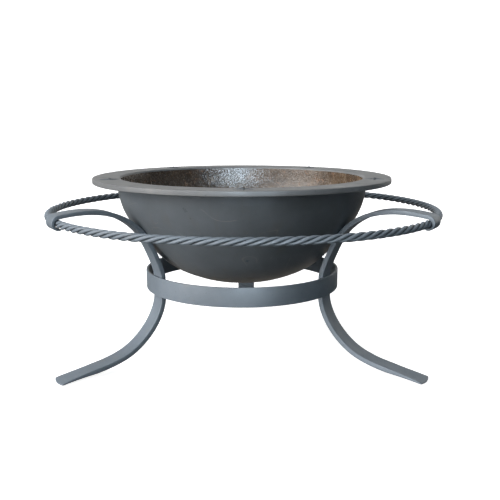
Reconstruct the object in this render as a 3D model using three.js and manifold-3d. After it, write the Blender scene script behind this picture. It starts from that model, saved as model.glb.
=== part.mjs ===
// Fire pit: a cast-iron bowl with a flat rim sits in a forged stand of three flat-bar legs,
// a band that ties the legs together, and a ring twisted from round rods that the leg tops
// hook over. A loose grate of round bars lies low in the bowl.
// Millimetres, +Z up, -Y is the front. The origin is on the bowl's axis at the floor.
import * as THREE from "three";
import { mergeVertices } from "three/addons/utils/BufferGeometryUtils.js";
import Module from "manifold-3d";

const wasm = await Module();
wasm.setup();

// ---- Driving dimensions ----------------------------------------------------------------

const FIT_GAP = 0.3; // left between pieces that touch on the real object

// Bowl
const RIM_HEIGHT = 392; // rim top above the floor
const RIM_THICKNESS = 10.5;
const RIM_EDGE_BREAK = 1.5; // small bevel on the rim's outer edge
const WALL_RADIUS = 268.5; // outside of the wall where it meets the rim
const RIM_WIDTH = 51.5; // from there to the rim's outer edge
const BOWL_DEPTH = 222; // rim top to the underside
const WALL = 8;
const MOUTH_ROUNDING = 4; // where the rim turns down into the bowl
const RIM_FILLET = 6; // under the rim, against the wall

// The wall's outside, as fractions of its radius and of its height under the rim.
const BOWL_SHAPE = [
  [0.225, 1.0],
  [0.3, 0.995],
  [0.43, 0.942],
  [0.543, 0.876],
  [0.655, 0.774],
  [0.749, 0.647],
  [0.831, 0.522],
  [0.899, 0.402],
  [0.944, 0.302],
  [0.97, 0.218],
  [0.99, 0.118],
  [1.0, 0.0],
];

// Four-pointed stars cast on the rim
const STAR_COUNT = 5;
const STAR_START = 271; // degrees from +X to the first star
const STAR_INSET = 33; // from the rim's outer edge to the middle of a star
const STAR_HALF_LENGTH = 20.5; // along the radius
const STAR_HALF_WIDTH = 18.5; // around the rim
const STAR_WAIST = 4; // from the centre to the notch between two points
const STAR_HEIGHT = 1.6;
const STAR_ROOT = 2; // how far a star reaches down into the rim
const NUB_RADIUS = 4;
const NUB_TOP_RADIUS = 1.8;
const NUB_HEIGHT = 3.4;

// Band
const BAND_INSET = 57; // outside of the bowl's wall at the rim to the outside of the band
const BAND_THICKNESS = 5;
const BAND_WIDTH = 40;
const BAND_DROP = 240.2; // rim top to the band's lower edge

// Legs, forged from flat bar
const BAR_WIDTH = 40;
const BAR_THICKNESS = 10;
const LEG_BEARINGS = { leg_front_left: 211, leg_front_right: 330, leg_rear: 88 }; // from +X
const FOOT_REACH = 426.5; // axis to the tip of the foot
const FOOT_RISE = 12.6; // degrees the foot climbs from its tip
const FOOT_WIDTH = 48;
const FOOT_FLARE = 62; // length over which the foot widens
const FOOT_FLARE_EASE = 0.55; // share of the flare before it turns outwards
const FOOT_END_BULGE = 5; // of the rounded end
const FOOT_TIP_THICKNESS = 3;
const FOOT_TAPER = 80; // length over which the foot is drawn thin
const ANKLE_RADIUS = 289.5; // where the foot turns up into the leg
const ANKLE_HEIGHT = 33;
const ANKLE_SLOPE = 22.3; // degrees
const SEAT_ALONG_WALL = 0.66; // share of the wall's outline where the bowl rests on the legs
const FOOT_BEND = [0.45, 0.34]; // pull of each bend at its two ends, as shares of its span
const SHIN_BEND = [0.34, 0.3];
const RISE_BEND = [0.18, 0.12];
const CREST_BEND = [0.34, 0.46];
const HOOK_CLEARANCE = 0.6; // between the ring and the inside of a hook
const HOOK_START = 80; // degrees, 90 being the top of the ring
const HOOK_TURN = 188; // degrees the leg top wraps round the ring
const HOOK_ROOT_THICKNESS = 8;
const HOOK_TIP_THICKNESS = 3;

// Ring of twisted rods
const RING_RADIUS = 415; // ring's centre to the middle of the bundle
const RING_DROP = 73; // rim top to the middle of the bundle
const RING_SHIFT = 4; // the ring's centre lies this far to the right of the axis
const ROD_DIAMETER = 6;
const ROD_COUNT = 4;
const ROD_CLEARANCE = 1.26; // how far the rods stand out from lying against each other
const RING_TWISTS = 29; // turns of the bundle in one trip round the ring
const RING_JOINT = 1; // gap between the two ends of a rod, inside the rear hook

// Grate
const GRATE_INSET = 80.5; // outside of the bowl's wall at the rim to the outside of the hoop
const GRATE_ROD = 10;
const GRATE_BARS = 9;
const BEARER_SPACING = 170;
const BEARER_SETBACK = 12; // from the hoop to the ends of the bearers
const LOOP_ROD = 8;
const LOOP_RADIUS = 24;
const LOOP_HEIGHT = 30; // of the straight part of a lifting loop

// Weld beads in the corners between legs and band
const BEAD_RADIUS = 2.2;
const BEAD_LENGTH = 30;

// Facets
const ROUND_STEPS = 64;
const BOWL_STEPS = 12;
const ROD_SIDES = 5;
const STEPS_PER_TWIST = 6;
const BAR_SIDES = 8;
const BEND_STEPS = 12;

// ---- Derived sizes ---------------------------------------------------------------------

const rad = THREE.MathUtils.degToRad;
const lerp = THREE.MathUtils.lerp;
const inscribed = (radius) => radius * Math.cos(Math.PI / ROUND_STEPS);

const bandRadius = WALL_RADIUS - BAND_INSET;
const bandBottom = RIM_HEIGHT - BAND_DROP;
const bandTop = bandBottom + BAND_WIDTH;
const bandInside = inscribed(bandRadius - BAND_THICKNESS) - FIT_GAP;
const legFace = Math.sqrt(bandInside ** 2 - (BAR_WIDTH / 2) ** 2);
const legRadius = legFace - BAR_THICKNESS / 2;
const rimRadius = WALL_RADIUS + RIM_WIDTH;
const rimUnderside = RIM_HEIGHT - RIM_THICKNESS;
const bowlBottom = RIM_HEIGHT - BOWL_DEPTH;
const starRadius = rimRadius - STAR_INSET;
const ringHeight = RIM_HEIGHT - RING_DROP;
const bundleRadius = ROD_DIAMETER / 2 / Math.sin(Math.PI / ROD_COUNT) + ROD_CLEARANCE;
const hookInside = bundleRadius + ROD_DIAMETER / 2 + HOOK_CLEARANCE;

// ---- Materials -------------------------------------------------------------------------

const finish = (color, roughness, metalness) => () =>
  new THREE.MeshStandardMaterial({ color, roughness, metalness });
const castIron = finish(0x55524e, 0.55, 0.6);
const paintedSteel = finish(0x626c76, 0.45, 0.35);
const paintedWeld = finish(0x8a9096, 0.5, 0.35);
const sootySteel = finish(0x3c3936, 0.75, 0.5);

// ---- Helpers ---------------------------------------------------------------------------

function solid(geometry) {
  const bare = geometry.clone();
  bare.deleteAttribute("normal");
  bare.deleteAttribute("uv");
  const merged = mergeVertices(bare, 1e-4);
  return new wasm.Manifold(
    new wasm.Mesh({
      numProp: 3,
      vertProperties: merged.attributes.position.array,
      triVerts: new Uint32Array(merged.index.array),
    }),
  );
}

function geometryOf(body) {
  const { vertProperties, triVerts } = body.getMesh();
  const geometry = new THREE.BufferGeometry()
    .setAttribute("position", new THREE.BufferAttribute(vertProperties, 3))
    .setIndex(new THREE.BufferAttribute(triVerts, 1))
    .toNonIndexed();
  geometry.computeVertexNormals();
  return geometry;
}

function namedMesh(name, geometry, material) {
  const mesh = new THREE.Mesh(geometry, material);
  mesh.name = name;
  return mesh;
}

// A solid of revolution about Z from [radius, height] pairs.
function turned(profile) {
  const points = profile.map(([radius, height]) => new THREE.Vector2(radius, height));
  return new THREE.LatheGeometry(points, ROUND_STEPS).rotateX(Math.PI / 2);
}

function regularSection(diameter, sides) {
  const corners = Array.from({ length: sides }, (_, i) => {
    const angle = (2 * Math.PI * i) / sides;
    return new THREE.Vector2(Math.cos(angle), Math.sin(angle)).multiplyScalar(diameter / 2);
  });
  return new THREE.Shape(corners);
}

function rodAlong(path, diameter, sides, steps) {
  return new THREE.ExtrudeGeometry(regularSection(diameter, sides), {
    extrudePath: path,
    steps,
    bevelEnabled: false,
  });
}

// ---- Bowl ------------------------------------------------------------------------------

const wallHeight = rimUnderside - bowlBottom;
const wallOutline = new THREE.CatmullRomCurve3(
  BOWL_SHAPE.map(
    ([across, down]) =>
      new THREE.Vector3(across * WALL_RADIUS, rimUnderside - down * wallHeight, 0),
  ),
  false,
  "centripetal",
);

// Points on the wall, moved outwards along its normal by `offset`.
function wallPoint(share, offset) {
  const point = wallOutline.getPointAt(share);
  const tangent = wallOutline.getTangentAt(share);
  return [point.x + tangent.y * offset, point.y - tangent.x * offset];
}

function wallPoints(offset) {
  return Array.from({ length: BOWL_STEPS + 1 }, (_, i) => wallPoint(i / BOWL_STEPS, offset));
}

const insideWall = wallPoints(-WALL).slice(0, -1);

function bowlProfile() {
  const outside = wallPoints(0).slice(0, -1);
  const mouthRadius = WALL_RADIUS - WALL;
  const roundMouth = [0, 30, 60, 90].map((degrees) => [
    mouthRadius + MOUTH_ROUNDING * (1 - Math.sin(rad(degrees))),
    RIM_HEIGHT - MOUTH_ROUNDING * (1 - Math.cos(rad(degrees))),
  ]);
  const fillet = [0, 45, 90].map((degrees) => [
    WALL_RADIUS + RIM_FILLET * (1 - Math.cos(rad(degrees))),
    rimUnderside - RIM_FILLET * (1 - Math.sin(rad(degrees))),
  ]);
  return [
    [0, bowlBottom],
    ...outside,
    ...fillet,
    [rimRadius - RIM_EDGE_BREAK, rimUnderside],
    [rimRadius, rimUnderside + RIM_EDGE_BREAK],
    [rimRadius, RIM_HEIGHT - RIM_EDGE_BREAK],
    [rimRadius - RIM_EDGE_BREAK, RIM_HEIGHT],
    ...roundMouth,
    ...insideWall.toReversed(),
    [0, bowlBottom + WALL],
  ];
}

function starGeometry() {
  const tips = [STAR_HALF_LENGTH, STAR_HALF_WIDTH, STAR_HALF_LENGTH, STAR_HALF_WIDTH];
  const corners = tips.flatMap((tip, i) => {
    const angle = (Math.PI / 2) * i;
    const notch = angle + Math.PI / 4;
    return [
      new THREE.Vector2(Math.cos(angle) * tip, Math.sin(angle) * tip),
      new THREE.Vector2(Math.cos(notch) * STAR_WAIST, Math.sin(notch) * STAR_WAIST),
    ];
  });
  return new THREE.ExtrudeGeometry(new THREE.Shape(corners), {
    depth: STAR_ROOT + STAR_HEIGHT,
    bevelEnabled: false,
  }).translate(0, 0, -STAR_ROOT);
}

function nubGeometry() {
  const height = STAR_ROOT + NUB_HEIGHT;
  return new THREE.CylinderGeometry(NUB_TOP_RADIUS, NUB_RADIUS, height, BAR_SIDES)
    .rotateX(Math.PI / 2)
    .translate(0, 0, height / 2 - STAR_ROOT);
}

function bowlGeometry() {
  const star = solid(starGeometry()).add(solid(nubGeometry()));
  let bowl = solid(turned(bowlProfile()));
  for (let i = 0; i < STAR_COUNT; i++) {
    const bearing = STAR_START + (360 / STAR_COUNT) * i;
    bowl = bowl.add(
      star.translate([starRadius, 0, RIM_HEIGHT]).rotate([0, 0, bearing]),
    );
  }
  return geometryOf(bowl);
}

// ---- Legs ------------------------------------------------------------------------------

// A leg's path lies in its own upright plane: x is the distance from the axis, y the height.
const at = (x, y) => new THREE.Vector2(x, y);
const heading = (degrees) => at(Math.cos(rad(degrees)), Math.sin(rad(degrees)));
const along = (point, degrees, length) =>
  point.clone().addScaledVector(heading(degrees), length);

const UPWARDS = 90;

// A smooth bend that leaves one point and arrives at another along the given headings.
function bend(from, leave, to, arrive, [leavePull, arrivePull]) {
  const span = from.distanceTo(to);
  return new THREE.CubicBezierCurve(
    from,
    along(from, leave, leavePull * span),
    along(to, arrive, -arrivePull * span),
    to,
  );
}

// Distance from the axis to the middle of the ring, in the direction of `bearing`.
function ringDistance(bearing) {
  const across = RING_SHIFT * Math.sin(rad(bearing));
  return RING_SHIFT * Math.cos(rad(bearing)) + Math.sqrt(RING_RADIUS ** 2 - across ** 2);
}

function legPath(ringCentre) {
  const footHeading = 180 - FOOT_RISE;
  const ankleHeading = 180 - ANKLE_SLOPE;
  const tip = at(FOOT_REACH, (FOOT_TIP_THICKNESS / 2) * Math.cos(rad(FOOT_RISE)));
  const ankle = at(ANKLE_RADIUS, ANKLE_HEIGHT);
  const bandStart = at(legRadius, bandBottom - FIT_GAP);
  const bandEnd = at(legRadius, bandTop + FIT_GAP);
  const wallSlope = wallOutline.getTangentAt(SEAT_ALONG_WALL);
  const seatHeading = THREE.MathUtils.radToDeg(Math.atan2(wallSlope.y, wallSlope.x));
  const seat = at(...wallPoint(SEAT_ALONG_WALL, FIT_GAP + BAR_THICKNESS / 2));
  const hookHeading = HOOK_START - 90;
  const hook = along(ringCentre, HOOK_START, hookInside + HOOK_ROOT_THICKNESS / 2);
  return {
    foot: bend(tip, footHeading, ankle, ankleHeading, FOOT_BEND),
    shin: bend(ankle, ankleHeading, bandStart, UPWARDS, SHIN_BEND),
    upright: new THREE.LineCurve(bandStart, bandEnd),
    rise: bend(bandEnd, UPWARDS, seat, seatHeading, RISE_BEND),
    crest: bend(seat, seatHeading, hook, hookHeading, CREST_BEND),
  };
}

// Both edges of the bent bar seen from the side, as one closed outline.
function legOutline(ringCentre) {
  const near = [];
  const far = [];
  const addStation = (point, normal, thickness) => {
    near.push(point.clone().addScaledVector(normal, thickness / 2));
    far.push(point.clone().addScaledVector(normal, -thickness / 2));
  };
  const { foot, shin, upright, rise, crest } = legPath(ringCentre);
  const footLength = foot.getLength();
  const thicknessOn = (curve, share) => {
    if (curve === foot) {
      const drawn = Math.min(1, (footLength * share) / FOOT_TAPER);
      return lerp(FOOT_TIP_THICKNESS, BAR_THICKNESS, drawn);
    }
    return curve === crest ? lerp(BAR_THICKNESS, HOOK_ROOT_THICKNESS, share) : BAR_THICKNESS;
  };
  for (const curve of [foot, shin, upright, rise, crest]) {
    const steps = curve === upright ? 1 : BEND_STEPS;
    for (let i = 0; i < steps; i++) {
      const share = i / steps;
      const tangent = curve.getTangentAt(share);
      addStation(
        curve.getPointAt(share),
        at(-tangent.y, tangent.x),
        thicknessOn(curve, share),
      );
    }
  }
  for (let i = 0; i <= BEND_STEPS; i++) {
    const share = i / BEND_STEPS;
    const outwards = heading(HOOK_START - HOOK_TURN * share);
    const thickness = lerp(HOOK_ROOT_THICKNESS, HOOK_TIP_THICKNESS, share);
    addStation(
      ringCentre.clone().addScaledVector(outwards, hookInside + thickness / 2),
      outwards,
      thickness,
    );
  }
  return new THREE.Shape([...near, ...far.reverse()]);
}

// The bar seen from above, below the band: the foot widens to a rounded end.
function footPlan() {
  const flareStart = FOOT_REACH - FOOT_FLARE;
  const corner = FOOT_REACH - FOOT_END_BULGE;
  const half = BAR_WIDTH / 2;
  const wide = FOOT_WIDTH / 2;
  const plan = new THREE.Shape();
  plan.moveTo(0, -half);
  plan.lineTo(flareStart, -half);
  plan.quadraticCurveTo(flareStart + FOOT_FLARE * FOOT_FLARE_EASE, -half, corner, -wide);
  plan.quadraticCurveTo(FOOT_REACH + FOOT_END_BULGE, 0, corner, wide);
  plan.quadraticCurveTo(flareStart + FOOT_FLARE * FOOT_FLARE_EASE, half, flareStart, half);
  plan.lineTo(0, half);
  return plan;
}

// The side view cut to the bar's width: to the foot's plan below the band, straight above it.
function legGeometry(bearing) {
  const ringCentre = at(ringDistance(bearing), ringHeight);
  const sideways = new THREE.ExtrudeGeometry(legOutline(ringCentre), {
    depth: FOOT_WIDTH,
    bevelEnabled: false,
  })
    .translate(0, 0, -FOOT_WIDTH / 2)
    .rotateX(Math.PI / 2);
  const lowPart = new THREE.ExtrudeGeometry(footPlan(), {
    depth: bandBottom,
    curveSegments: 6,
    bevelEnabled: false,
  });
  const reach = 2 * (ringCentre.x + hookInside + BAR_THICKNESS + FIT_GAP);
  const highPart = new THREE.BoxGeometry(reach, BAR_WIDTH, RIM_HEIGHT);
  lowPart.translate(0, 0, -FIT_GAP);
  highPart.translate(0, 0, bandBottom - 2 * FIT_GAP + RIM_HEIGHT / 2);
  const plan = solid(lowPart).add(solid(highPart));
  return geometryOf(solid(sideways).intersect(plan));
}

// ---- Ring ------------------------------------------------------------------------------

const rodSteps = RING_TWISTS * STEPS_PER_TWIST;
const LENGTH_SAMPLES_PER_STEP = 4; // for even spacing along a rod

// One rod's middle line: a right-handed twist about the ring, open by RING_JOINT.
class TwistedRod extends THREE.Curve {
  constructor(index, startBearing) {
    super();
    this.phase = (2 * Math.PI * index) / ROD_COUNT;
    this.start = rad(startBearing) + RING_JOINT / 2 / RING_RADIUS;
    this.sweep = 2 * Math.PI - RING_JOINT / RING_RADIUS;
    this.arcLengthDivisions = rodSteps * LENGTH_SAMPLES_PER_STEP;
  }

  getPoint(t, target = new THREE.Vector3()) {
    const bearing = this.start + this.sweep * t;
    const twist = this.phase + RING_TWISTS * this.sweep * t;
    const radius = RING_RADIUS + bundleRadius * Math.cos(twist);
    return target.set(
      RING_SHIFT + radius * Math.cos(bearing),
      radius * Math.sin(bearing),
      ringHeight + bundleRadius * Math.sin(twist),
    );
  }
}

// ---- Grate -----------------------------------------------------------------------------

const hoopRadius = WALL_RADIUS - GRATE_INSET - GRATE_ROD / 2; // middle of the hoop's rod
const barPitch = (2 * hoopRadius) / (GRATE_BARS + 1);

const HEIGHT_STEP = 0.05;
const WALL_SAMPLES = 400;

// Height at which the hoop comes to rest on the inside of the wall.
function hoopHeight() {
  const clearance = GRATE_ROD / 2 + FIT_GAP;
  const inside = new THREE.Path(insideWall.map(([x, y]) => at(x, y)));
  const wall = inside.getSpacedPoints(WALL_SAMPLES);
  const isClear = (height) =>
    wall.every((point) => Math.hypot(point.x - hoopRadius, point.y - height) > clearance);
  let height = rimUnderside;
  while (isClear(height - HEIGHT_STEP)) height -= HEIGHT_STEP;
  return height;
}

function hoopGeometry(height) {
  const section = Array.from({ length: BAR_SIDES + 1 }, (_, i) => {
    const direction = heading((360 / BAR_SIDES) * (i % BAR_SIDES)).multiplyScalar(GRATE_ROD / 2);
    return [hoopRadius + direction.x, height + direction.y];
  });
  return turned(section);
}

function barGeometry(length) {
  return new THREE.CylinderGeometry(GRATE_ROD / 2, GRATE_ROD / 2, length, BAR_SIDES);
}

function loopGeometry() {
  const path = new THREE.CurvePath();
  const up = new THREE.Vector3(0, 0, LOOP_HEIGHT);
  const left = new THREE.Vector3(-LOOP_RADIUS, 0, 0);
  const right = new THREE.Vector3(LOOP_RADIUS, 0, 0);
  const arch = Array.from({ length: BEND_STEPS + 1 }, (_, i) => {
    const angle = Math.PI * (1 - i / BEND_STEPS);
    return new THREE.Vector3(Math.cos(angle), 0, Math.sin(angle))
      .multiplyScalar(LOOP_RADIUS)
      .add(up);
  });
  const points = [left, ...arch, right];
  for (let i = 1; i < points.length; i++) {
    path.add(new THREE.LineCurve3(points[i - 1], points[i]));
  }
  return rodAlong(path, LOOP_ROD, BAR_SIDES, BEND_STEPS);
}

// ---- Assembly --------------------------------------------------------------------------

const stand = new THREE.Group();

const bandProfile = [
  [bandRadius, bandBottom],
  [bandRadius, bandTop],
  [bandRadius - BAND_THICKNESS, bandTop],
  [bandRadius - BAND_THICKNESS, bandBottom],
  [bandRadius, bandBottom],
];
stand.add(namedMesh("band", turned(bandProfile), paintedSteel()));

for (const [name, bearing] of Object.entries(LEG_BEARINGS)) {
  const leg = new THREE.Group();
  leg.rotation.z = rad(bearing);
  leg.add(namedMesh(name, legGeometry(bearing), paintedSteel()));
  const beadOut = BAR_WIDTH / 2 + BEAD_RADIUS + FIT_GAP;
  const beadReach = bandInside - BEAD_RADIUS;
  for (const [side, sign] of [["a", 1], ["b", -1]]) {
    const bead = namedMesh(
      `weld_${name.replace("leg_", "")}_${side}`,
      new THREE.CapsuleGeometry(BEAD_RADIUS, BEAD_LENGTH, 2, 6).rotateX(Math.PI / 2),
      paintedWeld(),
    );
    bead.position.set(
      Math.sqrt(beadReach ** 2 - beadOut ** 2),
      sign * beadOut,
      bandBottom + BAND_WIDTH / 2,
    );
    leg.add(bead);
  }
  stand.add(leg);
}

for (let i = 0; i < ROD_COUNT; i++) {
  const path = new TwistedRod(i, LEG_BEARINGS.leg_rear);
  stand.add(
    namedMesh(
      `ring_rod_${i + 1}`,
      rodAlong(path, ROD_DIAMETER, ROD_SIDES, rodSteps),
      paintedSteel(),
    ),
  );
}

const bowl = new THREE.Group();
bowl.add(namedMesh("bowl", bowlGeometry(), castIron()));

const grate = new THREE.Group();
const grateHeight = hoopHeight();
grate.add(namedMesh("grate_hoop", hoopGeometry(grateHeight), sootySteel()));

const clearRadius = inscribed(hoopRadius - GRATE_ROD / 2) - FIT_GAP;
for (let i = 0; i < GRATE_BARS; i++) {
  const offset = (i - (GRATE_BARS - 1) / 2) * barPitch;
  const half = Math.sqrt(clearRadius ** 2 - (Math.abs(offset) + GRATE_ROD / 2) ** 2);
  const bar = namedMesh(`grate_bar_${i + 1}`, barGeometry(2 * half), sootySteel());
  bar.position.set(offset, 0, grateHeight);
  grate.add(bar);
}
for (const [side, sign] of [["front", -1], ["rear", 1]]) {
  const offset = (sign * BEARER_SPACING) / 2;
  const half = Math.sqrt(clearRadius ** 2 - offset ** 2) - BEARER_SETBACK;
  const bearer = namedMesh(`grate_bearer_${side}`, barGeometry(2 * half), sootySteel());
  bearer.rotation.z = Math.PI / 2;
  bearer.position.set(0, offset, grateHeight - GRATE_ROD - FIT_GAP);
  grate.add(bearer);

  const loop = namedMesh(`grate_loop_${side}`, loopGeometry(), sootySteel());
  const loopRadius = Math.sqrt(hoopRadius ** 2 - LOOP_RADIUS ** 2);
  loop.position.set(0, sign * loopRadius, grateHeight + GRATE_ROD / 2 + FIT_GAP);
  grate.add(loop);
}

const firePit = new THREE.Group();
firePit.add(stand, bowl, grate);

export default firePit;
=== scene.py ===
"""Looks of the fire pit: cast-iron bowl, forged stand with a twisted ring, loose grate.

Metres, +Z up, -Y to the front, origin on the bowl's axis at the floor, as in the CAD.
"""
import bisect
import math

import bmesh
import bpy
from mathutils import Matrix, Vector, noise


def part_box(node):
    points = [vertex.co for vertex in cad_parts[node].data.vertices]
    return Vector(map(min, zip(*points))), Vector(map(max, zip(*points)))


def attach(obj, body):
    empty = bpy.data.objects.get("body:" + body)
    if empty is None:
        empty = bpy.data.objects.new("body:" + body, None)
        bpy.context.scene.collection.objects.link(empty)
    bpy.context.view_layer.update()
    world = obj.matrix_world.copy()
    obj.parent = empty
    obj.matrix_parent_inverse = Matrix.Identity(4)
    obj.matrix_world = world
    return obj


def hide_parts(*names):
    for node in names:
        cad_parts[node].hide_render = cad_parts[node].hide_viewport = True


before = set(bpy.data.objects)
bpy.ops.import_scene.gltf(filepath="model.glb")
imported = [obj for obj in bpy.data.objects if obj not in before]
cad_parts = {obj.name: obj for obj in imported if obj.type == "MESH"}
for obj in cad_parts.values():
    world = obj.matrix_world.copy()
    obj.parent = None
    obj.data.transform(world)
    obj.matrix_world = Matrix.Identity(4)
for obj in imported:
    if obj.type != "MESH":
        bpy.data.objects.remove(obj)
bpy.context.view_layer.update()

MM = 0.001

# ---- Sizes shared with the CAD ------------------------------------------------------------

BAND_LOW, BAND_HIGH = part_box("band")
BOWL_LOW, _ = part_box("bowl")
HOOP_LOW, HOOP_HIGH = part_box("grate_hoop")
FIT_GAP = 0.3 * MM  # between pieces that touch on the real object

# Bowl
RIM_TOP = 392 * MM
RIM_THICKNESS = 10.5 * MM
RIM_UNDERSIDE = RIM_TOP - RIM_THICKNESS
RIM_WIDTH = 51.5 * MM
RIM_FILLET = 6 * MM
RIM_EDGE_BREAK = 1.5 * MM
MOUTH_ROUNDING = 4 * MM
WALL_RADIUS = 268.5 * MM
RIM_RADIUS = WALL_RADIUS + RIM_WIDTH
WALL = 8 * MM
BOWL_BOTTOM = BOWL_LOW[2]
# The wall's outside, as fractions of its radius and of its height under the rim.
BOWL_SHAPE = [
    (0.225, 1.0), (0.3, 0.995), (0.43, 0.942), (0.543, 0.876), (0.655, 0.774), (0.749, 0.647),
    (0.831, 0.522), (0.899, 0.402), (0.944, 0.302), (0.97, 0.218), (0.99, 0.118), (1.0, 0.0),
]

# Stars on the rim
STAR_COUNT = 5
STAR_START = 271  # degrees from +X to the first star
STAR_INSET = 33 * MM
STAR_CENTRE_RADIUS = RIM_RADIUS - STAR_INSET
STAR_HALF_LENGTH = 20.5 * MM
STAR_HALF_WIDTH = 18.5 * MM

# Band and legs
BAND_THICKNESS = 5 * MM
BAND_RADIUS = BAND_HIGH[0]
BAND_FACETS = 64  # flats round the CAD's band, whose inside the legs touch
BAR_WIDTH = 40 * MM
BAR_THICKNESS = 10 * MM
LEG_BEARINGS = {"leg_front_left": 211, "leg_front_right": 330, "leg_rear": 88}  # degrees from +X
FOOT_REACH = 426.5 * MM
FOOT_RISE = 12.6  # degrees
FOOT_WIDTH = 48 * MM
FOOT_FLARE = 62 * MM
FOOT_END_BULGE = 5 * MM
FOOT_TIP_THICKNESS = 3 * MM
FOOT_TAPER = 80 * MM
ANKLE = (289.5 * MM, 33 * MM)
ANKLE_SLOPE = 22.3  # degrees
SEAT_ALONG_WALL = 0.66  # share of the wall's outline where the bowl rests on the legs
FOOT_BEND = (0.45, 0.34)  # pull of each bend at its two ends, as shares of its span
SHIN_BEND = (0.34, 0.3)
RISE_BEND = (0.18, 0.12)
CREST_BEND = (0.34, 0.46)
HOOK_INSIDE = 9.1 * MM
HOOK_START = 80  # degrees
HOOK_TURN = 188  # degrees
HOOK_ROOT_THICKNESS = 8 * MM
HOOK_TIP_THICKNESS = 3 * MM

# Ring
RING_RADIUS = 415 * MM
RING_DROP = 73 * MM
RING_HEIGHT = RIM_TOP - RING_DROP
RING_SHIFT = 4 * MM
RING_TWISTS = 29
RING_JOINT = 1 * MM
ROD_COUNT = 4

# Grate and welds
GRATE_ROD = 10 * MM
BEAD_RADIUS = 2.2 * MM

# ---- Sizes that only the looks have -------------------------------------------------------

TINY = 1e-7  # two points closer than this are one
ROUNDING_STEPS = 6
EDGE_STEPS = 4

BOWL_STEPS = 256  # round the axis
WALL_STEPS = 48  # up the wall
BOTTOM_RADIUS = 30 * MM  # of the innermost round of faces
RIM_RING_SHARES = (0.2, 0.4, 0.6, 0.8)  # across the flat of the rim

STAR_WAIST = 4.6 * MM
STAR_TIP_HEIGHT = 0.35 * MM
STAR_NOTCH_HEIGHT = 0.9 * MM
STAR_RIDGE = 2.3 * MM
STAR_ROOT = 0.6 * MM  # below the rim's face
NUB_RADIUS = 3.6 * MM
NUB_HEIGHT = 3.3 * MM
NUB_SIDES = 20
NUB_SHAPE = ((0.0, 1.0), (0.35, 0.98), (0.65, 0.85), (0.87, 0.58), (0.97, 0.28))  # height, radius

BAND_CORNER = 1.1 * MM
BAND_STEPS = 256
BAR_CORNER = 0.9 * MM
LARGEST_CORNER = 0.4  # share of the bar's thickness
LEG_STEPS = 220
LEG_END_STEPS = (0, 0.4 * MM, 1 * MM, 2.5 * MM)
LEG_PLAIN_START = 5 * MM  # from either end to where the even steps begin
HOOK_STEPS = 40
FLARE_POWER = 1.5
END_SHARE = 0.55  # of the thickness, left at the very end of a bar
END_ROUNDING = 1.2 * MM
HAMMER_DEPTH = 0.25 * MM
HAMMER_FADE = 8 * MM  # from either end to where the hammer marks are at full depth
HAMMER_SCALE = (30, 24, 7)  # across the bar, along it, and from leg to leg

ROD_SIDES = 16
ROD_RADIUS = 3.45 * MM
BUNDLE_RADIUS = 4.55 * MM
STEPS_PER_TWIST = 14
GROOVE_SHADE_TOP = 0.86  # share of the bundle's radius where the painted shade between rods begins
GROOVE_SHADE_FADE = 0.2

BEAD_FULLNESS = 0.86  # of the CAD's radius
BEAD_SETBACK = 0.3 * MM
BEAD_STEPS = 60
BEAD_SIDES = 12
BEAD_RIPPLES = 13
BEAD_RIPPLE_DEPTH = 0.1  # share of the radius
BEAD_VALLEY = 0.88  # fullness between two ripples
BEAD_END = 0.3  # fullness at the very ends
BEAD_END_STEEPNESS = 14

GRATE_FULLNESS = 0.985  # of the CAD's radius
GRATE_ROD_SIDES = 16
GRATE_ROD_STEPS = 24
GRATE_ROD_ENDS = {1: 0.7, 0.996: 0.9, 0.985: 0.98}  # share of the half length: fullness there
GRATE_ROD_PLAIN = 0.97  # share of the half length that keeps one thickness
HOOP_STEPS = 160
LOOP_FULLNESS = 0.98
LOOP_SIDES = 14
LOOP_RISE_STEPS = 6
LOOP_TURN_STEPS = 24

FLOOR_GAP = 0.5 * MM


# ---- Curves -------------------------------------------------------------------------------

def direction(degrees):
    """A 2-D unit vector, counted from +X."""
    return Vector((math.cos(math.radians(degrees)), math.sin(math.radians(degrees))))


def level_axes(bearing):
    """Level unit vectors at a bearing in radians: away from the axis, and round it."""
    out = Vector((math.cos(bearing), math.sin(bearing), 0))
    return out, Vector((-out.y, out.x, 0))


def upright(height):
    """A vector of that length along +Z."""
    return Vector((0, 0, height))


def catmull(points, per_segment=24):
    """A smooth curve through the points (centripetal Catmull-Rom)."""
    points = [Vector(p) for p in points]
    first = points[0] * 2 - points[1]
    last = points[-1] * 2 - points[-2]
    padded = [first, *points, last]
    curve = []
    for i in range(1, len(padded) - 2):
        p0, p1, p2, p3 = padded[i - 1:i + 3]
        d0, d1, d2 = (math.sqrt((b - a).length) for a, b in ((p0, p1), (p1, p2), (p2, p3)))
        m1 = ((p1 - p0) / d0 - (p2 - p0) / (d0 + d1) + (p2 - p1) / d1) * d1
        m2 = ((p2 - p1) / d1 - (p3 - p1) / (d1 + d2) + (p3 - p2) / d2) * d1
        for k in range(per_segment):
            t = k / per_segment
            curve.append(
                p1 * (2 * t ** 3 - 3 * t ** 2 + 1) + m1 * (t ** 3 - 2 * t ** 2 + t)
                + p2 * (3 * t ** 2 - 2 * t ** 3) + m2 * (t ** 3 - t ** 2)
            )
    curve.append(points[-1])
    return curve


def bezier(a, b, c, d, steps=40):
    """Points on the cubic curve from a to d that b and c pull."""
    out = []
    for i in range(steps + 1):
        t = i / steps
        out.append(a * (1 - t) ** 3 + b * 3 * t * (1 - t) ** 2 + c * 3 * t * t * (1 - t) + d * t ** 3)
    return out


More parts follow.
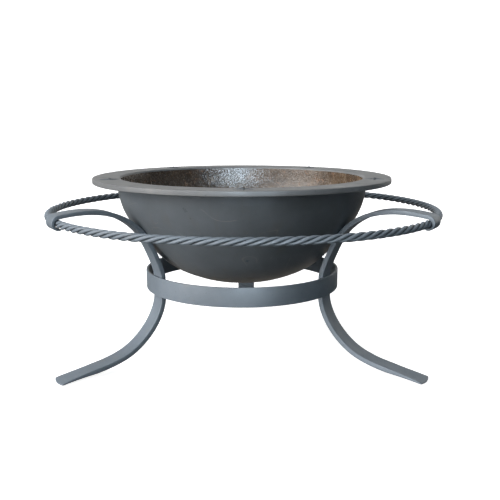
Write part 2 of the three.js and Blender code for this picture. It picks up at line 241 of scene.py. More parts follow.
class Path:
    """A polyline that can be asked for its point and left-hand normal at any distance."""

    def __init__(self, points):
        self.points = [points[0]]
        for point in points[1:]:
            if (point - self.points[-1]).length > TINY:
                self.points.append(point)
        self.reach = [0.0]
        for a, b in zip(self.points, self.points[1:]):
            self.reach.append(self.reach[-1] + (b - a).length)
        self.length = self.reach[-1]

    def at(self, distance):
        distance = min(max(distance, 0.0), self.length)
        low = min(bisect.bisect_right(self.reach, distance) - 1, len(self.reach) - 2)
        span = self.reach[low + 1] - self.reach[low]
        share = (distance - self.reach[low]) / span
        point = self.points[low].lerp(self.points[low + 1], share)
        before = self.tangent(low)
        after = self.tangent(low + 1)
        tangent = before.lerp(after, share).normalized()
        return point, Vector((-tangent.y, tangent.x))

    def tangent(self, i):
        a = self.points[max(i - 1, 0)]
        b = self.points[min(i + 1, len(self.points) - 1)]
        return (b - a).normalized()


wall_outline = Path(catmull([
    (across * WALL_RADIUS, RIM_UNDERSIDE - down * (RIM_UNDERSIDE - BOWL_BOTTOM))
    for across, down in BOWL_SHAPE
]))


def wall_point(share, offset=0.0):
    """A point on the bowl's wall, moved outwards by offset."""
    point, left = wall_outline.at(share * wall_outline.length)
    return point - left * offset


# ---- Mesh helpers -------------------------------------------------------------------------

def make_object(name, bm, materials, sharp_angle=35, body=None, replaced=()):
    """Turns a bmesh into a piece that rides on a body, smooth except across sharp edges."""
    bmesh.ops.recalc_face_normals(bm, faces=bm.faces)
    for face in bm.faces:
        face.smooth = True
    for edge in bm.edges:
        edge.smooth = not (
            len(edge.link_faces) == 2
            and edge.calc_face_angle(0) > math.radians(sharp_angle)
        )
    mesh = bpy.data.meshes.new(name)
    bm.to_mesh(mesh)
    bm.free()
    for material in materials:
        mesh.materials.append(material)
    obj = bpy.data.objects.new(name, mesh)
    bpy.context.scene.collection.objects.link(obj)
    if body:
        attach(obj, body)
    if replaced:
        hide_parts(*replaced)
    return obj


def add_rings(bm, rings):
    """Joins rings of points, each with as many as the last, into a closed skin."""
    loops = [[bm.verts.new(p) for p in ring] for ring in rings]
    for a, b in zip(loops, loops[1:]):
        for i in range(len(a)):
            j = (i + 1) % len(a)
            bm.faces.new((a[i], a[j], b[j], b[i]))
    bm.faces.new(loops[0])
    bm.faces.new(loops[-1][::-1])
    return loops


def turn_profile(bm, profile, steps, materials=None):
    """A solid of revolution about Z. materials gives each profile segment's material."""
    columns = []
    poles = {}
    for i in range(steps):
        angle = 2 * math.pi * i / steps
        column = []
        for k, (radius, height) in enumerate(profile):
            if radius < TINY:
                if k not in poles:
                    poles[k] = bm.verts.new((0, 0, height))
                column.append(poles[k])
            else:
                column.append(bm.verts.new(
                    (radius * math.cos(angle), radius * math.sin(angle), height)))
        columns.append(column)
    closed = profile[0][0] > TINY
    count = len(profile) if closed else len(profile) - 1
    for i in range(steps):
        a, b = columns[i], columns[(i + 1) % steps]
        for k in range(count):
            m = (k + 1) % len(profile)
            corners = [a[k], b[k], b[m], a[m]]
            corners = [v for n, v in enumerate(corners) if v not in corners[:n]]
            face = bm.faces.new(corners)
            if materials:
                face.material_index = materials[k]


def arc(centre, radius, start, end, steps):
    """Points (x, y) on an arc, in degrees."""
    return [
        (centre[0] + radius * math.cos(math.radians(start + (end - start) * i / steps)),
         centre[1] + radius * math.sin(math.radians(start + (end - start) * i / steps)))
        for i in range(steps + 1)
    ]


def round_section(radius, sides):
    """Points (x, y) on a circle, as many as it has sides."""
    return [(radius * math.cos(2 * math.pi * i / sides), radius * math.sin(2 * math.pi * i / sides))
            for i in range(sides)]


def tube(points, radius, sides, taper=None):
    """Rings of a round rod along 3-D points, with frames carried along without twist."""
    rings = []
    side = None
    for i, point in enumerate(points):
        a = points[max(i - 1, 0)]
        b = points[min(i + 1, len(points) - 1)]
        tangent = (b - a).normalized()
        if side is None:
            side = tangent.orthogonal().normalized()
        side = (side - tangent * side.dot(tangent)).normalized()
        up = tangent.cross(side)
        size = radius * (taper(i / (len(points) - 1)) if taper else 1)
        rings.append([point + side * x + up * y for x, y in round_section(size, sides)])
    return rings


# ---- Materials ----------------------------------------------------------------------------

class Nodes:
    """Short names for building a material's node tree."""

    def __init__(self, name):
        self.material = bpy.data.materials.new(name)
        self.material.use_nodes = True
        self.tree = self.material.node_tree
        self.shader = self.tree.nodes["Principled BSDF"]
        self.position = self.add("ShaderNodeTexCoord").outputs["Object"]

    def add(self, kind, **settings):
        node = self.tree.nodes.new(kind)
        for key, value in settings.items():
            setattr(node, key, value)
        return node

    def link(self, source, target):
        self.tree.links.new(source, target)

    def scaled(self, scale):
        mapping = self.add("ShaderNodeMapping")
        self.link(self.position, mapping.inputs["Vector"])
        mapping.inputs["Scale"].default_value = scale
        return mapping.outputs["Vector"]

    def noise(self, scale, detail=4, rough=0.55, vector=None, distortion=0):
        node = self.add("ShaderNodeTexNoise")
        self.link(vector or self.position, node.inputs["Vector"])
        node.inputs["Scale"].default_value = scale
        node.inputs["Detail"].default_value = detail
        node.inputs["Roughness"].default_value = rough
        node.inputs["Distortion"].default_value = distortion
        return node.outputs["Fac"]

    def ramp(self, value, *stops):
        """stops are (position, colour) or (position, number)."""
        node = self.add("ShaderNodeValToRGB")
        self.link(value, node.inputs["Fac"])
        elements = node.color_ramp.elements
        while len(elements) < len(stops):
            elements.new(0.5)
        for element, (position, colour) in zip(elements, stops):
            element.position = position
            if isinstance(colour, (int, float)):
                colour = (colour,) * 3
            element.color = (*colour, 1)
        return node.outputs["Color"]

    def mix(self, share, a, b):
        """Colour a, or b where share is 1. The node's colour sockets are 6 and 7, and 2 out."""
        node = self.add("ShaderNodeMix", data_type="RGBA")
        for socket, value in ((node.inputs[0], share), (node.inputs[6], a), (node.inputs[7], b)):
            if isinstance(value, (int, float)):
                socket.default_value = value
            elif isinstance(value, tuple):
                socket.default_value = (*value, 1)
            else:
                self.link(value, socket)
        return node.outputs[2]

    def maths(self, operation, a, b=0.0):
        node = self.add("ShaderNodeMath", operation=operation)
        for socket, value in zip(node.inputs, (a, b)):
            if isinstance(value, (int, float)):
                socket.default_value = value
            else:
                self.link(value, socket)
        return node.outputs[0]

    def stain(self, colour, mask, strength, stain_colour):
        """The colour with a stain over it where the mask is 1."""
        return self.mix(self.maths("MULTIPLY", mask, strength), colour, stain_colour)

    def near(self, value, level, reach):
        """1 where the value is at the level, down to 0 at reach away from it."""
        off = self.maths("ABSOLUTE", self.maths("SUBTRACT", value, level))
        return self.ramp(off, (0.0, 1), (reach, 0))

    def edge_wear(self, low=0.52, high=0.62):
        """1 on outward edges, 0 elsewhere."""
        pointiness = self.add("ShaderNodeNewGeometry").outputs["Pointiness"]
        return self.ramp(pointiness, (low, 0), (high, 1))

    def bump(self, height, distance, strength=1.0, after=None):
        node = self.add("ShaderNodeBump")
        self.link(height, node.inputs["Height"])
        node.inputs["Distance"].default_value = distance
        node.inputs["Strength"].default_value = strength
        if after:
            self.link(after, node.inputs["Normal"])
        return node.outputs["Normal"]

    def finish(self, colour, roughness, normal, **fixed):
        """Joins the sockets up. fixed holds shader values that are the same all over."""
        self.link(colour, self.shader.inputs["Base Color"])
        self.link(roughness, self.shader.inputs["Roughness"])
        self.link(normal, self.shader.inputs["Normal"])
        for name, value in fixed.items():
            self.shader.inputs[name.replace("_", " ")].default_value = value
        return self.material


def shades(colour, *factors):
    """The colour made darker or lighter by each factor."""
    return [tuple(channel * factor for channel in colour) for factor in factors]


DUST = (0.24, 0.22, 0.19)
# near black: the painted shade in the grooves between the ring's rods
PAINTED_GROOVE_SHADE = (0.012, 0.012, 0.013)
DRIP = (0.16, 0.155, 0.15)
ASH = (0.24, 0.22, 0.2)
BARE_SCRATCH = (0.4, 0.39, 0.36)
RUST = (0.27, 0.12, 0.045)
SCALE_FLAKE = (0.3, 0.25, 0.2)
BROWN_SCRATCH = (0.3, 0.24, 0.18)
# pale beige on the inside's outward edges, such as the mouth: partly rubbed wear, partly a painted
# highlight
RUBBED_EDGE_AND_HIGHLIGHT = (0.55, 0.5, 0.43)
DARK_RUST = (0.17, 0.075, 0.033)


def painted_steel(name, tint=(0.185, 0.22, 0.258), groove_shade=False):
    """Satin grey paint over forged steel: brush clouds, pits, worn edges."""
    n = Nodes(name)
    dark, light, pit, worn = shades(tint, 0.85, 1.12, 0.5, 1.8)
    colour = n.ramp(n.noise(11, detail=6, rough=0.6), (0.3, dark), (0.7, light))
    pits = n.ramp(n.noise(170, detail=2, rough=0.7), (0.65, 0), (0.72, 1))
    colour = n.stain(colour, pits, 0.4, pit)
    patches = n.ramp(n.noise(34, detail=6, rough=0.7), (0.56, 0), (0.7, 1))
    colour = n.stain(colour, patches, 0.25, DUST)
    colour = n.stain(colour, n.edge_wear(), 0.45, worn)
    # painted shade: near black in the grooves between the ring's rods, read from a mesh attribute
    if groove_shade:
        attribute = n.add("ShaderNodeAttribute", attribute_name="groove_shade")
        colour = n.mix(attribute.outputs["Fac"], colour, PAINTED_GROOVE_SHADE)
    roughness = n.ramp(n.noise(30, detail=6), (0.25, 0.42), (0.75, 0.58))
    normal = n.bump(n.noise(45, detail=3), 0.0008, 0.5)
    normal = n.bump(n.noise(420, detail=3), 0.00012, 0.6, after=normal)
    return n.finish(colour, roughness, normal)


def bowl_outside():
    """Satin dark iron with drips, casting grain, specks of ash and a few broken scratches."""
    n = Nodes("cast_iron_outside")
    dark, light, edge = shades((0.155, 0.175, 0.194), 0.78, 1.18, 2.4)
    colour = n.ramp(n.noise(6, detail=6, rough=0.6), (0.3, dark), (0.72, light))
    stretched = n.scaled((1, 1, 0.1))
    drips = n.ramp(n.noise(24, detail=5, rough=0.6, vector=stretched), (0.56, 0), (0.68, 1))
    colour = n.stain(colour, drips, 0.3, DRIP)
    specks = n.ramp(n.noise(210, detail=2, rough=0.8), (0.67, 0), (0.74, 1))
    colour = n.stain(colour, specks, 0.5, ASH)
    colour = n.stain(colour, n.edge_wear(0.515, 0.56), 0.5, edge)
    scratch = n.near(n.noise(5, detail=2, distortion=1.5), 0.52, 0.0015)
    broken = n.ramp(n.noise(12, detail=3), (0.5, 0), (0.58, 1))
    colour = n.stain(colour, n.maths("MULTIPLY", scratch, broken), 0.35, BARE_SCRATCH)
    roughness = n.ramp(n.noise(18, detail=6), (0.25, 0.26), (0.75, 0.4))
    normal = n.bump(n.noise(9, detail=3), 0.003, 0.35)
    normal = n.bump(n.noise(260, detail=4, rough=0.65), 0.0003, 0.7, after=normal)
    return n.finish(colour, roughness, normal)


def bowl_inside():
    """Oiled brown iron, rough from the mould, with rust, pale flakes and bright scratches."""
    n = Nodes("cast_iron_inside")
    colour = n.ramp(
        n.noise(16, detail=8, rough=0.7),
        (0.32, (0.035, 0.022, 0.013)), (0.5, (0.088, 0.059, 0.037)), (0.68, (0.175, 0.122, 0.077)),
    )
    rust = n.ramp(n.noise(80, detail=5, rough=0.75), (0.57, 0), (0.66, 1))
    colour = n.stain(colour, rust, 0.55, RUST)
    flakes = n.ramp(n.noise(240, detail=3, rough=0.7), (0.57, 0), (0.65, 1))
    colour = n.stain(colour, flakes, 0.55, SCALE_FLAKE)
    scratch = n.near(n.noise(7, detail=2, rough=0.5, distortion=1.2), 0.5, 0.003)
    broken = n.ramp(n.noise(20, detail=3), (0.52, 0), (0.58, 1))
    colour = n.stain(colour, scratch, broken, BROWN_SCRATCH)
    # outward edges turn pale beige: rubbed wear, and a painted highlight along the mouth
    colour = n.stain(colour, n.edge_wear(0.53, 0.58), 0.8, RUBBED_EDGE_AND_HIGHLIGHT)
    roughness = n.ramp(n.noise(160, detail=5, rough=0.7), (0.38, 0.1), (0.62, 0.36))
    normal = n.bump(n.noise(34, detail=4), 0.0018, 0.5)
    normal = n.bump(n.noise(240, detail=4, rough=0.65), 0.0011, 0.9, after=normal)
    return n.finish(colour, roughness, normal, Specular_IOR_Level=0.6)


def sooty_steel():
    """Matt soot on steel rods, with rust showing through."""
    n = Nodes("sooty_steel")
    colour = n.ramp(n.noise(22, detail=6), (0.3, (0.022, 0.02, 0.019)), (0.7, (0.06, 0.054, 0.05)))
    rust = n.ramp(n.noise(60, detail=6, rough=0.7), (0.55, 0), (0.66, 1))
    colour = n.stain(colour, rust, 0.6, DARK_RUST)
    roughness = n.ramp(n.noise(40, detail=5), (0.3, 0.55), (0.7, 0.85))
    normal = n.bump(n.noise(150, detail=5, rough=0.7), 0.0005, 0.8)
    return n.finish(colour, roughness, normal)


STAND_PAINT = painted_steel("painted_steel")
# the ring's paint darkens to painted shade in the grooves between its rods
RING_PAINT = painted_steel("painted_ring", groove_shade=True)
WELD_PAINT = painted_steel("painted_weld", tint=(0.3, 0.33, 0.36))
OUTSIDE = bowl_outside()
INSIDE = bowl_inside()
SOOT = sooty_steel()
RIM_IRON = painted_steel("cast_iron_rim", tint=(0.185, 0.19, 0.196))
STAR_IRON = painted_steel("star_iron", tint=(0.07, 0.08, 0.09))


# ---- Bowl ---------------------------------------------------------------------------------

def build_bowl():
    """The casting as one turned profile, with its own material outside, on the rim and inside."""
    outside = [tuple(wall_point(i / WALL_STEPS)) for i in range(WALL_STEPS)]
    inside = [tuple(wall_point(i / WALL_STEPS, -WALL)) for i in range(WALL_STEPS)]
    fillet_low = RIM_UNDERSIDE - RIM_FILLET
    outside = [(radius, height) for radius, height in outside if height < fillet_low - 1 * MM]
    outside = [(0.0, BOWL_BOTTOM), (BOTTOM_RADIUS, BOWL_BOTTOM)] + outside
    mouth = WALL_RADIUS - WALL
    edge = RIM_RADIUS - RIM_EDGE_BREAK
    rim = arc((WALL_RADIUS + RIM_FILLET, fillet_low), RIM_FILLET, 180, 90, ROUNDING_STEPS)
    rim += arc((edge, RIM_UNDERSIDE + RIM_EDGE_BREAK), RIM_EDGE_BREAK, -90, 0, EDGE_STEPS)
    rim += arc((edge, RIM_TOP - RIM_EDGE_BREAK), RIM_EDGE_BREAK, 0, 90, EDGE_STEPS)
    rim += [(RIM_RADIUS - (RIM_RADIUS - mouth) * share, RIM_TOP) for share in RIM_RING_SHARES]
    rounding_centre = (mouth + MOUTH_ROUNDING, RIM_TOP - MOUTH_ROUNDING)
    rounding = arc(rounding_centre, MOUTH_ROUNDING, 90, 180, ROUNDING_STEPS)
    inside = inside[::-1] + [(BOTTOM_RADIUS, BOWL_BOTTOM + WALL), (0.0, BOWL_BOTTOM + WALL)]
    profile = outside + rim + rounding + inside
    on_rim = len(rim) + len(rounding) - 1
    materials = [0] * len(outside) + [1] * on_rim + [2] * (len(rounding) + len(inside))
    bm = bmesh.new()
    turn_profile(bm, profile, BOWL_STEPS, materials)
    make_object("bowl_casting", bm, [OUTSIDE, RIM_IRON, INSIDE], body="bowl",
                replaced=["bowl"])


def build_star(index):
    """A four-pointed star with ridged arms and a round nub, cast on the rim."""
    out, along = level_axes(math.radians(STAR_START + 360 / STAR_COUNT * index))
    centre = out * STAR_CENTRE_RADIUS

    def place(x, y, z):
        return centre + out * x + along * y + upright(RIM_TOP + z)

    bm = bmesh.new()
    outline = []
    for i, tip in enumerate([STAR_HALF_LENGTH, STAR_HALF_WIDTH] * 2):
        angle = math.pi / 2 * i
        notch = angle + math.pi / 4
        outline.append((math.cos(angle) * tip, math.sin(angle) * tip, STAR_TIP_HEIGHT))
        outline.append((math.cos(notch) * STAR_WAIST, math.sin(notch) * STAR_WAIST, STAR_NOTCH_HEIGHT))
    low = [bm.verts.new(place(x, y, -STAR_ROOT)) for x, y, _ in outline]
    high = [bm.verts.new(place(x, y, z)) for x, y, z in outline]
    top = bm.verts.new(place(0, 0, STAR_RIDGE))
    for i in range(len(outline)):
        j = (i + 1) % len(outline)
        bm.faces.new((low[i], low[j], high[j], high[i]))
        bm.faces.new((high[i], high[j], top))
    bm.faces.new(low[::-1])
    add_rings(bm, [
        [place(x, y, NUB_HEIGHT * height) for x, y in round_section(NUB_RADIUS * size, NUB_SIDES)]
        for height, size in NUB_SHAPE
    ])
    make_object(f"rim_star_{index + 1}", bm, [STAR_IRON], sharp_angle=20, body="bowl")


# ---- Stand --------------------------------------------------------------------------------

def bend(start, leave, end, arrive, pulls):
    """A smooth bend from start to end that leaves and arrives along the given directions."""
    span = (end - start).length
    return bezier(start, start + leave * pulls[0] * span, end - arrive * pulls[1] * span, end)


def blended(start, end, share):
    """The value that share of the way from start to end."""
    return start + (end - start) * share


def leg_path(ring_distance):
    """The bar's middle line in the leg's own plane, and how far along its last bends start."""
    inside = (BAND_RADIUS - BAND_THICKNESS) * math.cos(math.pi / BAND_FACETS) - FIT_GAP
    radius = math.sqrt(inside ** 2 - (BAR_WIDTH / 2) ** 2) - BAR_THICKNESS / 2
    up = Vector((0, 1))
    tip = Vector((FOOT_REACH, FOOT_TIP_THICKNESS / 2 * math.cos(math.radians(FOOT_RISE))))
    ankle = Vector(ANKLE)
    band_start = Vector((radius, BAND_LOW[2] - FIT_GAP))
    band_end = Vector((radius, BAND_HIGH[2] + FIT_GAP))
    on_wall, left = wall_outline.at(SEAT_ALONG_WALL * wall_outline.length)
    seat = on_wall - left * (FIT_GAP + BAR_THICKNESS / 2)
    wall_way = Vector((left.y, -left.x))
    ring_centre = Vector((ring_distance, RING_HEIGHT))
    hook = ring_centre + direction(HOOK_START) * (HOOK_INSIDE + HOOK_ROOT_THICKNESS / 2)
    foot_way, ankle_way = direction(180 - FOOT_RISE), direction(180 - ANKLE_SLOPE)
    points = bend(tip, foot_way, ankle, ankle_way, FOOT_BEND)
    points += bend(ankle, ankle_way, band_start, up, SHIN_BEND)
    points += bend(band_end, up, seat, wall_way, RISE_BEND)
    crest_start = Path(points).length
    points += bend(seat, wall_way, hook, direction(HOOK_START - 90), CREST_BEND)
    hook_start = Path(points).length
    for i in range(1, HOOK_STEPS + 1):
        share = i / HOOK_STEPS
        thickness = blended(HOOK_ROOT_THICKNESS, HOOK_TIP_THICKNESS, share)
        angle = HOOK_START - HOOK_TURN * share
        points.append(ring_centre + direction(angle) * (HOOK_INSIDE + thickness / 2))
    return Path(points), crest_start, hook_start


def bar_thickness(along, crest_start, hook_start, length):
    """Thickness of a leg's bar at a distance along it from the tip of the foot."""
    if along < FOOT_TAPER:
        return blended(FOOT_TIP_THICKNESS, BAR_THICKNESS, along / FOOT_TAPER)
    if along < crest_start:
        return BAR_THICKNESS
    if along < hook_start:
        share = (along - crest_start) / (hook_start - crest_start)
        return blended(BAR_THICKNESS, HOOK_ROOT_THICKNESS, share)
    share = (along - hook_start) / (length - hook_start)
    return blended(HOOK_ROOT_THICKNESS, HOOK_TIP_THICKNESS, share)


def flat_bar_section(width, thickness, corner, across=10, corner_steps=3):
    """Offsets (across the width, through the thickness) round a flat bar with rounded corners."""
    corner = min(corner, thickness * LARGEST_CORNER)
    half_width, half_thickness = width / 2 - corner, thickness / 2 - corner
    points = []
    for side_w, side_t, start in ((1, 1, 0), (-1, 1, 90), (-1, -1, 180), (1, -1, 270)):
        middle = (side_w * half_width, side_t * half_thickness)
        points += arc(middle, corner, start, start + 90, corner_steps)
        if side_w == side_t:
            for k in range(1, across):
                points.append((side_w * half_width * (1 - 2 * k / across),
                               side_t * (half_thickness + corner)))
    return points


def leg_stations(length):
    """Distances along a leg where its section is worked out, closer together at its ends."""
    even = length - 2 * LEG_PLAIN_START
    inner = [LEG_PLAIN_START + even * i / LEG_STEPS for i in range(LEG_STEPS + 1)]
    return [*LEG_END_STEPS, *inner, *(length - e for e in reversed(LEG_END_STEPS))]


def build_leg(name, bearing_degrees):
    """A leg forged from flat bar: flared foot, bends, and the hook that holds the ring."""
    bearing = math.radians(bearing_degrees)
    out, side = level_axes(bearing)
    off_line = RING_SHIFT * math.sin(bearing)
    ring_distance = RING_SHIFT * math.cos(bearing) + math.sqrt(RING_RADIUS ** 2 - off_line ** 2)
    path, crest_start, hook_start = leg_path(ring_distance)
    length = path.length
    mark_across, mark_along, mark_leg = HAMMER_SCALE
    rings = []
    for along in leg_stations(length):
        flare = max(0.0, 1 - along / FOOT_FLARE)
        width = blended(BAR_WIDTH, FOOT_WIDTH, flare ** FLARE_POWER)
        to_end = min(along, length - along)
        fullness = min(1.0, blended(END_SHARE, 1, math.sqrt(to_end / END_ROUNDING)))
        thickness = bar_thickness(along, crest_start, hook_start, length) * fullness
        depth = HAMMER_DEPTH * min(1.0, to_end / HAMMER_FADE)
        ring = []
        for w, t in flat_bar_section(width, thickness, BAR_CORNER):
            bulge = FOOT_END_BULGE * (2 * w / width) ** 2 * flare ** 2
            point, normal = path.at(along + bulge)
            mark = noise.noise(Vector((w * mark_across, along * mark_along, bearing * mark_leg)))
            t -= math.copysign(depth * abs(mark), t)
            middle = point + normal * t
            ring.append(out * middle.x + side * w + upright(middle.y))
        rings.append(ring)
    bm = bmesh.new()
    add_rings(bm, rings)
    make_object(f"{name}_bar", bm, [STAND_PAINT], body="stand", replaced=[name])


def build_band():
    """The flat-bar band under the bowl, with rounded corners."""
    low, high = BAND_LOW[2] + BAND_CORNER, BAND_HIGH[2] - BAND_CORNER
    inner, outer = BAND_RADIUS - BAND_THICKNESS + BAND_CORNER, BAND_RADIUS - BAND_CORNER
    corners = ((outer, low), (outer, high), (inner, high), (inner, low))
    profile = []
    for k, corner in enumerate(corners):
        profile += arc(corner, BAND_CORNER, 90 * k - 90, 90 * k, EDGE_STEPS)
    bm = bmesh.new()
    turn_profile(bm, profile, BAND_STEPS)
    make_object("band_bar", bm, [STAND_PAINT], body="stand", replaced=["band"])


def build_rod(index):
    """One rod of the ring, twisted right-handed with the others; painted shade darkens it where rods
    meet.
    """
    steps = RING_TWISTS * STEPS_PER_TWIST
    start = math.radians(LEG_BEARINGS["leg_rear"]) + RING_JOINT / 2 / RING_RADIUS
    sweep = 2 * math.pi - RING_JOINT / RING_RADIUS
    middles, hearts = [], []
    for i in range(steps + 1):
        out, _ = level_axes(start + sweep * i / steps)
        twist = 2 * math.pi * index / ROD_COUNT + RING_TWISTS * sweep * i / steps
        heart = Vector((RING_SHIFT, 0, RING_HEIGHT)) + out * RING_RADIUS
        hearts.append(heart)
        middles.append(heart + (out * math.cos(twist) + upright(math.sin(twist))) * BUNDLE_RADIUS)
    bm = bmesh.new()
    groove_shade = bm.verts.layers.float.new("groove_shade")
    loops = add_rings(bm, tube(middles, ROD_RADIUS, ROD_SIDES))
    # painted shade: 1 near the bundle's middle, where the rods meet, fading to 0 towards their outer
    # faces
    for loop, heart in zip(loops, hearts):
        for vert in loop:
            share = (vert.co - heart).length / (BUNDLE_RADIUS + ROD_RADIUS)
            vert[groove_shade] = min(1.0, max(0.0, (GROOVE_SHADE_TOP - share) / GROOVE_SHADE_FADE))
    make_object(f"ring_rod_{index + 1}_bar", bm, [RING_PAINT], body="stand",
                replaced=[f"ring_rod_{index + 1}"])


def build_bead(node):
    """A weld bead, rippled along its length and narrower at its ends."""
    low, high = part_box(node)
    x, y = (low[0] + high[0]) / 2, (low[1] + high[1]) / 2
    bottom, length = low[2] + BEAD_SETBACK, high[2] - low[2] - 2 * BEAD_SETBACK
    points = [Vector((x, y, bottom + length * i / BEAD_STEPS)) for i in range(BEAD_STEPS + 1)]

    def ripple(share):
        to_end = min(share, 1 - share)
        rounded = min(1.0, BEAD_END + math.sqrt(to_end * BEAD_END_STEEPNESS))
        wave = abs(math.sin(share * math.pi * BEAD_RIPPLES))
        return rounded * (BEAD_VALLEY + BEAD_RIPPLE_DEPTH * wave)

    bm = bmesh.new()
    add_rings(bm, tube(points, BEAD_RADIUS * BEAD_FULLNESS, BEAD_SIDES, taper=ripple))
    make_object(f"{node}_bead", bm, [WELD_PAINT], body="stand", replaced=[node])


# ---- Grate --------------------------------------------------------------------------------

def build_hoop():
    """The grate's round hoop."""
    height = (HOOP_LOW[2] + HOOP_HIGH[2]) / 2
    radius = HOOP_HIGH[0] - GRATE_ROD / 2
    section = round_section(GRATE_ROD / 2 * GRATE_FULLNESS, GRATE_ROD_SIDES)
    bm = bmesh.new()
    turn_profile(bm, [(radius + x, height + y) for x, y in section], HOOP_STEPS)
    make_object("grate_hoop_rod", bm, [SOOT], body="grate", replaced=["grate_hoop"])


def build_straight_rod(node):
    """A round rod between a node's far ends, with slightly rounded ends."""
    low, high = (Vector(corner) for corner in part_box(node))
    middle = (low + high) / 2
    axis = Vector((1, 0, 0)) if high.x - low.x > high.y - low.y else Vector((0, 1, 0))
    half = abs((high - low).dot(axis)) / 2
    ends = list(GRATE_ROD_ENDS)
    plain = [GRATE_ROD_PLAIN * (2 * i / GRATE_ROD_STEPS - 1) for i in range(GRATE_ROD_STEPS + 1)]
    shares = [-end for end in ends] + plain + ends[::-1]
    fullness = [GRATE_ROD_ENDS.get(abs(share), GRATE_FULLNESS) for share in shares]
    points = [middle + axis * half * share for share in shares]

    def taper(along):
        return fullness[round(along * (len(shares) - 1))]

    bm = bmesh.new()
    add_rings(bm, tube(points, GRATE_ROD / 2, GRATE_ROD_SIDES, taper=taper))
    make_object(f"{node}_rod", bm, [SOOT], body="grate", replaced=[node])


def build_loop(node):
    """A lifting loop: two upright stretches joined by a half circle."""
    low, high = (Vector(corner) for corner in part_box(node))
    rod = (high.y - low.y) / 2
    radius = (high.x - low.x) / 2 - rod
    y = (low.y + high.y) / 2
    spring = high.z - rod - radius
    rise = [low.z + (spring - low.z) * i / LOOP_RISE_STEPS for i in range(LOOP_RISE_STEPS)]
    points = [Vector((-radius, y, z)) for z in rise]
    points += [Vector((x, y, z)) for x, z in arc((0, spring), radius, 180, 0, LOOP_TURN_STEPS)]
    points += [Vector((radius, y, z)) for z in reversed(rise)]
    bm = bmesh.new()
    add_rings(bm, tube(points, rod * LOOP_FULLNESS, LOOP_SIDES))
    make_object(f"{node}_rod", bm, [SOOT], body="grate", replaced=[node])


build_bowl()
for star in range(STAR_COUNT):
    build_star(star)
for leg, bearing_degrees in LEG_BEARINGS.items():
    build_leg(leg, bearing_degrees)
build_band()
for rod_index in range(ROD_COUNT):
    build_rod(rod_index)
for node_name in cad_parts:
    if node_name.startswith("weld_"):
        build_bead(node_name)
    elif node_name.startswith(("grate_bar_", "grate_bearer_")):
        build_straight_rod(node_name)
    elif node_name.startswith("grate_loop_"):
        build_loop(node_name)
build_hoop()


# ---- Floor, light and camera --------------------------------------------------------------

# The floor is flat out to FLOOR_REACH, then turns up into a wall. Metres.
FLOOR_REACH = 7.0
SWEEP_RADIUS = 3.0
BACKDROP_TOP = 9.0
SWEEP_STEPS = 16
FLOOR_STEPS = 72  # round the axis
FLOOR_GLOW = 0.9

# Each lamp: its bearing from +X, its height and how wide it looks (all in degrees), its
# strength, its colour, and whether it lights surfaces or only gleams on them.
LAMPS = {
    "key": (210, 19, 56, 4.3, (1.0, 0.98, 0.96), True),
    "front": (272, 6, 60, 0.18, (0.65, 0.87, 1.0), True),
    "high": (262, 50, 60, 0.16, (0.4, 0.7, 1.0), True),
    "top": (215, 66, 60, 0.62, (0.97, 0.99, 1.0), True),
    "right": (340, 35, 60, 0.3, (0.85, 0.95, 1.0), True),
    "bounce": (90, -30, 60, 0.11, (1.0, 0.88, 0.75), True),
    "back": (97, 12, 50, 0.45, (1.0, 0.98, 0.94), False),
    "back_right": (50, 14, 40, 0.6, (1.0, 0.98, 0.94), False),
    "window": (275, 8, 20, 5.0, (0.7, 0.86, 1.0), False),
}
SKY_GLOW = (0.045, 0.045, 0.045)

CAMERA_PLACE = (0.0173, -1.5862, 0.527)
CAMERA_TILT = 10.71  # degrees below level
CAMERA_LENS = 52.35
SENSOR_WIDTH = 36


def pale_floor():
    """Nearly white and matt, with a glow of its own."""
    n = Nodes("pale_floor")
    colour = n.ramp(n.noise(3, detail=3), (0.3, 0.84), (0.7, 0.86))
    roughness = n.ramp(n.noise(5), (0.3, 0.8), (0.7, 0.9))
    normal = n.bump(n.noise(60), 0.0002, 0.2)
    return n.finish(colour, roughness, normal, Emission_Color=(1, 1, 1, 1), Emission_Strength=FLOOR_GLOW)


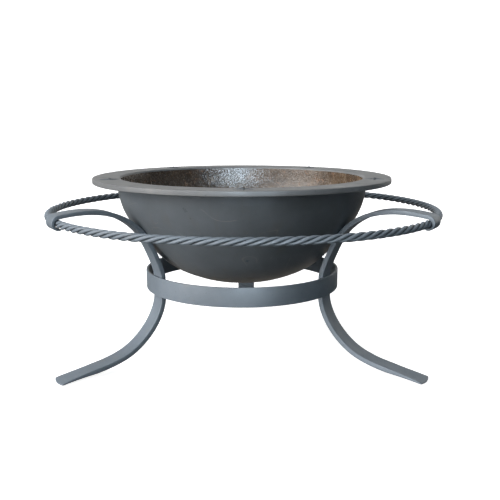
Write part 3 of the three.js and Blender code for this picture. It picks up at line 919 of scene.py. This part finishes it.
def build_floor():
    """A pale floor that sweeps up into a backdrop all round; it throws no light back up."""
    profile = arc((FLOOR_REACH, SWEEP_RADIUS), SWEEP_RADIUS, -90, 0, SWEEP_STEPS)
    profile.append((FLOOR_REACH + SWEEP_RADIUS, BACKDROP_TOP))
    bm = bmesh.new()
    rings = []
    for reach, rise in profile:
        circle = round_section(reach, FLOOR_STEPS)
        rings.append([bm.verts.new((x, y, rise - FLOOR_GAP)) for x, y in circle])
    bm.faces.new(rings[0])
    for inner, outer in zip(rings, rings[1:]):
        for i in range(FLOOR_STEPS):
            j = (i + 1) % FLOOR_STEPS
            bm.faces.new((inner[i], outer[i], outer[j], inner[j]))
    floor = make_object("floor", bm, [pale_floor()])
    floor.visible_diffuse = False
    floor.visible_glossy = False
    floor.visible_shadow = False


def build_lamps():
    """Each lamp is a sun with a wide disc, so its shadows and gleams are soft."""
    for name, (around, height, spread, strength, colour, lights_surfaces) in LAMPS.items():
        lamp = bpy.data.lights.new(name, "SUN")
        lamp.energy = strength
        lamp.angle = math.radians(spread)
        lamp.color = colour
        obj = bpy.data.objects.new(name, lamp)
        flat = direction(around) * math.cos(math.radians(height))
        towards = Vector((flat.x, flat.y, math.sin(math.radians(height))))
        obj.rotation_euler = towards.to_track_quat("Z", "Y").to_euler()
        obj.visible_diffuse = lights_surfaces
        bpy.context.scene.collection.objects.link(obj)


def build_sky():
    """A dim even glow, so that no shadow is black."""
    world = bpy.data.worlds.new("studio")
    world.use_nodes = True
    world.node_tree.nodes["Background"].inputs["Color"].default_value = (*SKY_GLOW, 1)
    bpy.context.scene.world = world


def build_camera():
    """In front of the object and a little above it, looking slightly down."""
    camera = bpy.data.cameras.new("camera")
    camera.sensor_width = SENSOR_WIDTH
    camera.lens = CAMERA_LENS
    obj = bpy.data.objects.new("camera", camera)
    obj.location = CAMERA_PLACE
    obj.rotation_euler = (math.radians(90 - CAMERA_TILT), 0, 0)
    bpy.context.scene.collection.objects.link(obj)
    bpy.context.scene.camera = obj


build_floor()
build_lamps()
build_sky()
build_camera()
bpy.context.scene.view_settings.view_transform = "Standard"
